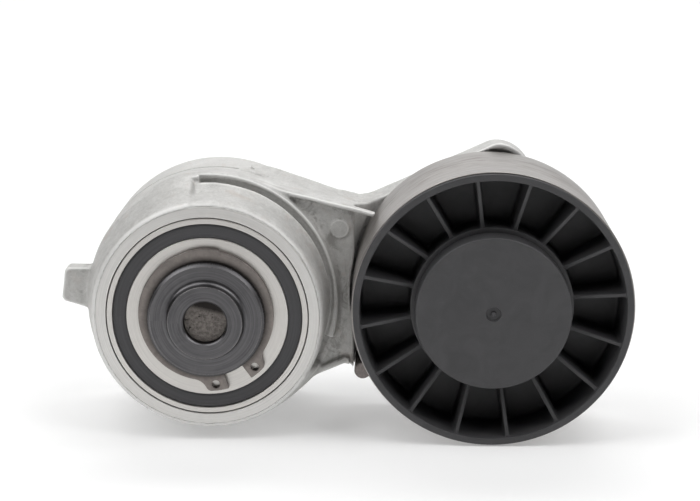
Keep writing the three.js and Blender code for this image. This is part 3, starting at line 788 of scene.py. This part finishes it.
def field_object(name, f, origin, materials, extra=None, light_and_wear=None):
    """The skin of a field as an object, with how sharp (edge) and how hollow (recess) each place is."""
    points, quads = skin(f)
    gradient = np.stack(np.gradient(f.value, f.step), -1).astype(np.float32)
    for _ in range(2):
        slope = np.stack([sample(f, points, gradient[..., k]) for k in range(3)], 1)
        size = np.maximum((slope ** 2).sum(1), 0.25)
        move = -(sample(f, points) / size)[:, None] * slope
        points = points + np.clip(move, -0.3 * f.step, 0.3 * f.step)
    bend = sum(np.gradient(gradient[..., k], f.step, axis=k) for k in range(3))
    bend = np.clip(sample(f, points, bend), -2, 2)
    slope = np.stack([sample(f, points, gradient[..., k]) for k in range(3)], 1)
    slope /= np.maximum(np.linalg.norm(slope, axis=1), 1e-6)[:, None]
    # An occlusion-like measure of how enclosed each place is; the materials paint shade with it.
    recess = np.zeros(len(points))
    for away in (2.5, 5.0, 9.0):
        recess += (1 - np.clip(sample(f, points + slope * away) / away, 0, 1)) / 3
    # The given function scales down the painted edge highlights and the painted shade in the hollows where
    # they are not wanted.
    if light_and_wear is not None:
        highlight_and_wear, shade_and_dirt = light_and_wear(points)
        bend, recess = bend * highlight_and_wear, recess * shade_and_dirt
    joined_points, faces, index = points, quads, None
    if extra is not None:
        extra_points, extra_faces = extra
        extra_faces = [face if len(face) == 4 else face + face[-1:] for face in extra_faces]
        start = len(points)
        joined_points = np.concatenate([points, extra_points])
        index = np.concatenate([np.zeros(len(quads), np.int32), np.ones(len(extra_faces), np.int32)])
        faces = np.concatenate([quads, np.array(extra_faces, np.int32) + start])
        bend, recess = (np.concatenate([v, np.zeros(len(extra_points))]) for v in (bend, recess))
    made = mesh_object(name, joined_points, faces, origin, materials, sharp=50, material_index=index)
    for label, values in (("edge", bend), ("recess", recess)):
        attribute = made.data.attributes.new(label, "FLOAT", "POINT")
        attribute.data.foreach_set("value", values.astype(np.float32))
    return made


def arm_light_and_wear(points):
    """How strongly the painted edge highlights, with their wear, and the painted shade in the hollows apply:
    little highlight on the back half, little shade in the groove.
    """
    x, y, z = points.T
    highlight_and_wear = 1 - np.clip((y - 25) / 5, 0, 1) * np.clip((60 - x) / 5, 0, 1)
    shade_and_dirt = 1 - 0.85 * np.clip(45.5 - np.hypot(x, z), 0, 1) * np.clip(22.0 - y, 0, 1)
    return highlight_and_wear, shade_and_dirt


rim = turned([(34.15, 15.2), (34.15, 0.0, 0.22), (RIM_R, 0.0, 0.22), (RIM_R, 1.0), (36.0, 1.0), (36.0, 15.2)])
arm = field_object("tensioner_arm_casting", arm_casting(), PIVOT, [CAST, MACHINED], rim, arm_light_and_wear)
settle(arm, "arm", "cast_aluminium", "tensioner_arm")


# ---------------------------------------------------------------- fixed side

def turned_piece(name, profile, origin, material, body, slot, *stands_for, sides=None, steps=3, sharp=40.0):
    points, faces = turned(profile, sides, steps)
    return settle(mesh_object(name, points, faces, origin, [material], sharp), body, slot, *stands_for)


BASE_BACK = 58.0
DOWEL_X, DOWEL_R, DOWEL_DEPTH = -36.8, 3.0, 6.0

base = turned_piece("mounting_base_casting", [
    (16.3, 39.9), (24.0, 39.9, 0.8), (24.5, 52.0, 1.5), (38.6, 52.0, 1.5), (39.1, 39.3, 0.3),
    (39.5, 39.3, 0.1), (39.5, 42.3, 0.3), (42.7, 42.3, 0.3), (42.7, 39.3, 0.15), (43.95, 39.3, 0.5),
    (43.95, BASE_BACK, 1.2), (30.0, BASE_BACK, 0.5), (30.0, 56.5, 0.5), (13.0, 56.5, 0.6),
    (13.0, 49.0, 0.6), (6.6, 49.0, 0.3), (6.6, 46.0), (16.3, 46.0)],
    PIVOT, CAST_PLAIN, "base", "cast_aluminium", "mounting_base")
drill_ends = BASE_BACK - DOWEL_DEPTH, BASE_BACK + 2.0
drill = turned([(r, y) for r, y in zip((0, DOWEL_R, DOWEL_R, 0), np.repeat(drill_ends, 2))], 48)
drill = mesh_object("dowel_drill", *drill, PIVOT + Vector((DOWEL_X, 0, 0)) * MM, [CAST_PLAIN])
hole = base.modifiers.new("dowel_hole", "BOOLEAN")
hole.object = drill
hole.operation = "DIFFERENCE"
hole.solver = "EXACT"
drilled = bpy.data.meshes.new_from_object(base.evaluated_get(bpy.context.evaluated_depsgraph_get()))
base.modifiers.clear()
base.data = drilled
bpy.data.objects.remove(drill)

turned_piece("pivot_shaft_turned", [
    (0, 3.0), (7.25, 3.0, 0.3), (7.25, -7.3, 0.1), (7.75, -7.8, 0.12), (12.45, -7.8, 0.3), (13.0, -4.9, 1.8),
    (18.6, -4.9, 0.2), (19.55, -4.15, 0.15), (19.7, -3.9, 0.1), (19.7, -2.35, 0.1), (18.6, -2.35, 0.1),
    (18.6, -0.1, 0.1), (19.7, -0.1, 0.1), (19.7, 39.6, 0.3), (16.0, 39.6, 0.4), (16.0, 45.7, 0.4),
    (5.6, 45.7, 0.3), (5.6, 30.0, 0.3), (0, 30.0)],
    PIVOT, SHAFT, "base", "dark_steel", "pivot_shaft", steps=5)

turned_piece("shaft_bore_disc", [(0, -5.2), (7.1, -5.2, 0.12), (7.1, 2.7, 0.3), (0, 2.7)],
             PIVOT, PLUG, "base", "plug_steel", "shaft_bore_plug", sides=96)

turned_piece("pivot_bearing_inner_race", [
    (20.0, 0.0, 0.45), (27.2, 0.0, 0.25), (27.2, 4.6), (26.2, 5.6), (26.2, 9.4), (27.2, 10.4),
    (27.2, 15.0, 0.25), (20.0, 15.0, 0.45)], PIVOT, RING, "base", "bearing_steel", "pivot_bearing_inner_ring")
turned_piece("pivot_bearing_outer_race", [
    (33.85, 0.0, 0.25), (33.85, 15.0, 0.25), (32.0, 15.0, 0.2), (32.0, 10.4), (33.0, 9.4), (33.0, 5.6),
    (32.0, 4.6), (32.0, 0.0, 0.2)], PIVOT, RING, "arm", "bearing_steel", "pivot_bearing_outer_ring")
turned_piece("pivot_bearing_front_shield", [
    (27.35, 0.55, 0.1), (28.0, 0.35, 0.2), (31.0, 0.35, 0.2), (31.85, 0.6, 0.1), (31.85, 1.5, 0.2),
    (27.35, 1.5, 0.2)], PIVOT, SEAL, "arm", "seal_rubber", "pivot_bearing_front_seal")


CLIP_IN_R = 19.05
CLIP_LUG_R = 25.45
CLIP_LUGS = ((-90.5, -71.0), (-57.0, -39.3))  # degrees
CLIP_GAP = (-73.5, -54.5)
CLIP_HOLES = (-83.3, -46.4)
CLIP_HOLE_AT, CLIP_HOLE_R = 23.15, 1.36


def circlip():
    """External circlip: widest opposite its gap, a small step near the top, two drilled, flared lugs."""
    f = Field((-26.5, -2.35, -27.0), (27.0, 0.0, 26.0), 0.2)
    inside = CLIP_IN_R - f.radius()
    turn = f.turn()
    step = np.clip((turn - 78.3) / 1.2, 0, 1) * np.clip((112 - turn) / 20, 0, 1)
    band = meet(f.radius(-0.2, 0.95) - 22.7 - 0.55 * step, inside)
    lugs = [meet(f.sector(start, end, 40, 6), f.radius() - CLIP_LUG_R, 1.5) for start, end in CLIP_LUGS]
    plan = join(band, np.maximum(np.minimum(*lugs), inside), 4.2)
    plan = np.maximum(meet(plan, -f.sector(*CLIP_GAP, 40, 6), 0.25), inside)
    for angle in CLIP_HOLES:
        a = math.radians(angle)
        hole_r = f.radius(CLIP_HOLE_AT * math.cos(a), CLIP_HOLE_AT * math.sin(a))
        plan = np.maximum(plan, CLIP_HOLE_R - hole_r)
    f.value = f.slab(plan, -2.05, -0.3, 0.18)
    return f


clip = field_object("bearing_circlip_ring", circlip(), PIVOT, [CIRCLIP])
settle(clip, "base", "clip_steel", "bearing_circlip")

turned_piece("stop_pin_turned", [(0, 20.5), (2.95, 20.5, 0.5), (2.95, 44.9, 0.4), (0, 44.9)],
             PIVOT + Vector((PIN_AT[0], 0, PIN_AT[1])) * MM, PIN, "arm", "clip_steel", "stop_pin", sides=64)


def hex_head(washer_r, hex_r, front, washer_back, back):
    """A flanged hexagon screw head that faces +Y, its corners chamfered."""
    f = Field((-washer_r - 1, front - 1, -washer_r - 1), (washer_r + 1, back + 1, washer_r + 1), 0.3)
    r = f.radius()
    head = f.slab(f.outline(arc(0, 0, hex_r, 0, 300, 5)), front, back, 0.3)
    head = meet(head, f.plan_at(r) - (hex_r * 0.90 + (back - f.y) * 1.7), 0.2)
    f.value = join(head, f.slab(r - washer_r, front, washer_back, 0.45), 0.5).astype(np.float32)
    return f


screw_head = field_object("shaft_screw_head", hex_head(11.45, 10.4, 51.3, 52.6, 56.85), PIVOT, [SCREW])
settle(screw_head, "base", "dark_steel")
turned_piece("shaft_screw_shank", [(0, 31.0), (5.3, 31.0, 0.6), (5.3, 51.25), (0, 51.25)],
             PIVOT, SCREW, "base", "dark_steel", "shaft_screw", sides=64)
turned_piece("shaft_screw_washer_turned", [
    (6.4, 49.3, 0.2), (12.35, 49.3, 0.25), (12.35, 51.0, 0.3), (6.4, 51.0, 0.2)],
    PIVOT, CLIP, "base", "clip_steel", "shaft_screw_washer", sides=96)


# ---------------------------------------------------------------- pulley

RIBS = 16
FIRST_RIB = math.radians(7.5)
HALF_RIB = 0.6
RIM_IN = 44.4
HUB_OUT = 27.4
ALONG_RIB, ALONG_RIM, ALONG_CORNER = 6, 8, 4  # faces along each stretch of a pocket's edge
# (inset, depth) of the loops round a pocket: over its upper edge, then down to and across its floor.
POCKET_EDGE = ((-0.27, 0.0), (-0.13, 0.035), (-0.035, 0.13), (0.0, 0.27), (0.02, 0.5))
POCKET_FLOOR = ((0.22, 1.25), (0.24, 1.1), (0.32, 0.62), (0.56, 0.28), (0.88, 0.08), (1.3, 0.0), (1.5, 0.0))


class Loft:
    """Points and faces of one mesh, with the points given as radius, angle and y about its axis."""

    def __init__(self):
        self.points = []
        self.faces = []

    def add(self, radius, angle, y):
        self.points.append((radius * math.cos(angle), y, radius * math.sin(angle)))
        return len(self.points) - 1

    def strip(self, a, b, closed=False):
        for i in range(len(a) - (0 if closed else 1)):
            n = (i + 1) % len(a)
            self.faces.append([a[i], a[n], b[n], b[i]])


def pocket_loop(angle_a, angle_b, inset, corner, top):
    """Places (radius, angle) round a pocket between two ribs."""
    wall = max(inset, 0.0)
    outer, inner = RIM_IN - wall - (0.4 if top else 0.0), HUB_OUT + wall - (0.4 if top else 0.0)

    def offset(radius):
        return math.asin((HALF_RIB + inset) / radius)

    def bend(a, b, c):
        for k in range(1, ALONG_CORNER + 1):
            t = k / ALONG_CORNER
            yield tuple((1 - t) ** 2 * p + 2 * t * (1 - t) * q + t * t * s for p, q, s in zip(a, b, c))

    near, far = inner + corner, outer - corner
    rim_a, rim_b = angle_a + offset(outer), angle_b - offset(outer)
    hub_a, hub_b = angle_a + offset(inner), angle_b - offset(inner)
    rib = [near + (far - near) * k / ALONG_RIB for k in range(ALONG_RIB + 1)]
    line = [(r, angle_a + offset(r)) for r in rib]
    line += bend(line[-1], (outer, rim_a), (outer, rim_a + corner / outer))
    start, end = line[-1][1], rim_b - corner / outer
    line += [(outer, start + (end - start) * k / ALONG_RIM) for k in range(1, ALONG_RIM + 1)]
    line += bend(line[-1], (outer, rim_b), (far, angle_b - offset(far)))
    line += [(r, angle_b - offset(r)) for r in reversed(rib[:-1])]
    line += bend(line[-1], (inner, hub_b), (inner, hub_b - corner / inner))
    start, end = line[-1][1], hub_a + corner / inner
    line += [(inner, start + (end - start) * k / ALONG_RIM) for k in range(1, ALONG_RIM + 1)]
    line += list(bend(line[-1], (inner, hub_a), (near, angle_a + offset(near))))[:-1]
    return line


def wheel_side(loft, crest, floor, back):
    """One side's pockets. crest(radius) is the y of the ribs' edge. Gives the rings at rim and hub."""
    way = -1.0 if back else 1.0
    rim_ring, hub_ring, sides = [], [], []
    turn = 2 * math.pi / RIBS
    total = 2 * ALONG_RIB + 2 * ALONG_RIM + 4 * ALONG_CORNER
    to_rim = ALONG_RIB + ALONG_CORNER
    to_hub = to_rim + ALONG_RIM + 2 * ALONG_CORNER + ALONG_RIB
    for i in range(RIBS):
        a, b = FIRST_RIB + turn * i, FIRST_RIB + turn * (i + 1)
        loops = []
        for inset, depth in POCKET_EDGE:
            places = pocket_loop(a, b, inset, 0.9, back)
            loops.append([loft.add(r, angle, crest(r) + way * depth) for r, angle in places])
        for inset, depth in POCKET_FLOOR:
            places = pocket_loop(a, b, inset, 0.9, back)
            loops.append([loft.add(r, angle, floor - way * depth) for r, angle in places])
        for outer, inner in zip(loops, loops[1:]):
            loft.strip(outer, inner, closed=True)
        fill(loft, loops[-1], floor)
        top = loops[0]
        rim_ring.append(top[to_rim:to_rim + ALONG_RIM + 1])
        hub_ring.append(top[to_hub:to_hub + ALONG_RIM + 1][::-1])
        side_a = [top[(to_hub + ALONG_RIM + k) % total] for k in range(ALONG_CORNER + 1)] + top[1:to_rim + 1]
        side_b = top[to_rim + ALONG_RIM:to_hub + 1][::-1]
        sides.append((side_a, side_b))
    rims, hubs = [], []
    for i in range(RIBS):
        here, before = sides[i][0], sides[i - 1][1]
        angle = FIRST_RIB + turn * i
        spine = []
        for k in here:
            x, _, z = loft.points[k]
            radius = math.hypot(x, z)
            spine.append(loft.add(radius, angle, crest(radius)))
        loft.strip(here, spine)
        loft.strip(spine, before)
        hubs += [spine[0]] + hub_ring[i]
        rims += [spine[-1]] + rim_ring[i]
    return rims, hubs


def fill(loft, loop, y):
    """Quads across a pocket's floor."""
    half = ALONG_CORNER // 2
    wide, tall = ALONG_RIM + ALONG_CORNER, ALONG_RIB + ALONG_CORNER

    def stretch(start, count):
        return [loop[(start - half + k) % len(loop)] for k in range(count + 1)]

    left, far = stretch(0, tall), stretch(tall, wide)
    right, near = stretch(tall + wide, tall)[::-1], stretch(2 * tall + wide, wide)[::-1]
    spot = {k: np.array(loft.points[k]) for k in left + far + right + near}
    rows = [near]
    for j in range(1, tall):
        v = j / tall
        row = [left[j]]
        for i in range(1, wide):
            u = i / wide
            p = ((1 - u) * spot[left[j]] + u * spot[right[j]] + (1 - v) * spot[near[i]] + v * spot[far[i]]
                 - (1 - u) * (1 - v) * spot[left[0]] - u * (1 - v) * spot[right[0]]
                 - (1 - u) * v * spot[left[tall]] - u * v * spot[right[tall]])
            loft.points.append((float(p[0]), y, float(p[2])))
            row.append(len(loft.points) - 1)
        rows.append(row + [right[j]])
    rows.append(far)
    for row, above in zip(rows, rows[1:]):
        loft.strip(row, above)


def pulley_wheel():
    loft = Loft()
    front_rim, front_hub = wheel_side(loft, lambda r: 3.0 - (r - 27.4) * 5.2 / 17.0, 15.0, False)
    back_rim, back_hub = wheel_side(loft, lambda r: 24.0 + (r - 27.0) * 7.0 / 17.0, 17.5, True)

    def around(ring, profile, last):
        for radius, y in profile:
            fresh = []
            for k in ring:
                x, _, z = loft.points[k]
                fresh.append(loft.add(radius, math.atan2(z, x), y))
            loft.strip(ring, fresh, closed=True)
            ring = fresh
        loft.strip(ring, last, closed=True)

    rim_section = [
        (44.4, -3.2), (44.44, -3.38), (44.56, -3.52), (44.75, -3.6), (45.0, -3.6), (46.1, -3.6),
        (46.35, -3.6), (46.55, -3.53), (46.66, -3.4), (46.7, -3.2), (46.7, -2.6), (46.64, -2.46),
        (46.5, -2.4), (45.5, -2.4), (45.4, -2.3), (45.4, 34.2), (45.3, 34.5), (45.0, 34.6),
        (44.3, 34.6), (44.05, 34.5), (44.0, 34.2)]
    hub_section = [
        (27.4, 3.0 - 0.02), (27.36, 2.88), (27.25, 2.8), (27.0, 2.8), (24.2, 2.8), (23.9, 2.9), (23.8, 3.1),
        (23.8, 17.3), (22.1, 17.3), (22.0, 17.4), (22.0, 25.7), (22.1, 25.93), (22.4, 26.0), (26.5, 26.0),
        (26.85, 25.9), (27.0, 25.6)]
    around(front_rim, rim_section, back_rim)
    around(front_hub, hub_section, back_hub)
    return np.array(loft.points), loft.faces


wheel_points, wheel_faces = pulley_wheel()
wheel = mesh_object("pulley_wheel_moulding", wheel_points, wheel_faces, PULLEY, [PLASTIC], 38)
shape = bmesh.new()
shape.from_mesh(wheel.data)
bmesh.ops.remove_doubles(shape, verts=shape.verts, dist=1e-6)
bmesh.ops.recalc_face_normals(shape, faces=shape.faces)
shape.to_mesh(wheel.data)
shape.free()
settle(wheel, "pulley", "black_plastic", "pulley_wheel")

turned_piece("pulley_tread_band", [
    (45.7, -2.1, 0.1), (47.2, -2.1, 0.35), (47.2, 35.0, 0.6), (45.7, 35.0, 0.2)],
    PULLEY, TREAD, "pulley", "tread_steel", "pulley_tread", sides=256)
turned_piece("pulley_dust_cap", [
    (0, -5.75), (0.7, -5.75, 0.2), (0.95, -5.0, 0.15), (2.3, -5.0, 0.2), (2.55, -5.9, 0.15),
    (25.9, -5.9, 0.5), (25.9, 2.4, 0.2), (24.6, 2.4, 0.2), (24.6, -4.6, 0.5), (0, -4.6)],
    PULLEY, PLASTIC, "pulley", "black_plastic", "dust_cap")


# ---------------------------------------------------------------- stage

# Half width, front edge, back wall, its height and the radius of its foot, in metres.
REACH, FRONT, WALL, RISE, COVE = 3.0, -2.2, 1.4, 1.6, 0.6

bends = np.linspace(0, math.pi / 2, 24)[1:]
section = [(FRONT, 0.0), (WALL - COVE, 0.0)]
section += [(WALL - COVE + COVE * math.sin(a), COVE - COVE * math.cos(a)) for a in bends]
section += [(WALL, RISE)]
corners = [(x, y, z) for x in (-REACH, REACH) for y, z in section]
n = len(section)
floor_mesh = bpy.data.meshes.new("studio_floor")
floor_mesh.from_pydata(corners, [], [(i, i + 1, n + i + 1, n + i) for i in range(n - 1)])
floor_mesh.materials.append(floor_paper())
floor_mesh.polygons.foreach_set("use_smooth", np.ones(len(floor_mesh.polygons), bool))
floor = bpy.data.objects.new("studio_floor", floor_mesh)
scene.collection.objects.link(floor)


def look(name, data, place, target):
    """Puts a light or camera at place, turned to target."""
    made = bpy.data.objects.new(name, data)
    made.location = place
    made.rotation_mode = "QUATERNION"
    made.rotation_quaternion = (Vector(target) - Vector(place)).to_track_quat("-Z", "Y")
    scene.collection.objects.link(made)
    return made


def area_light(name, place, target, width, height, power):
    data = bpy.data.lights.new(name, "AREA")
    data.energy = power
    data.shape = "RECTANGLE"
    data.size = width
    data.size_y = height
    look(name, data, place, target)


MIDDLE = (0.0, 0.0, 0.045)
area_light("left_softbox", (-0.54, -0.24, 0.80), MIDDLE, 0.62, 1.0, 5.6)
area_light("right_softbox", (0.54, -0.24, 0.80), MIDDLE, 0.62, 1.0, 5.6)
area_light("backdrop_light", (0.0, 0.75, 1.5), (0.0, 1.4, 0.45), 1.6, 0.5, 16.0)

world = bpy.data.worlds.new("studio")
world.use_nodes = True
tree = world.node_tree
sky = tree.nodes.new("ShaderNodeTexCoord")
way = tree.nodes.new("ShaderNodeSeparateXYZ")
fade = tree.nodes.new("ShaderNodeMapRange")
for key, value in (("From Min", -0.9), ("From Max", 0.3), ("To Min", 0.15), ("To Max", 0.75)):
    fade.inputs[key].default_value = value
tree.links.new(sky.outputs["Generated"], way.inputs[0])
tree.links.new(way.outputs["Y"], fade.inputs["Value"])
tree.links.new(fade.outputs["Result"], tree.nodes["Background"].inputs["Strength"])
scene.world = world
scene.view_settings.view_transform = "Standard"
scene.view_settings.look = "None"

camera_data = bpy.data.cameras.new("camera")
camera_data.lens = 82.95
camera_data.sensor_width = 36.0
camera_data.clip_start, camera_data.clip_end = 0.01, 20.0
camera_at = Vector((13.92, -543.73, 196.33)) * MM
scene.camera = look("camera", camera_data, camera_at, Vector((2.69, -25.1, 67.28)) * MM)
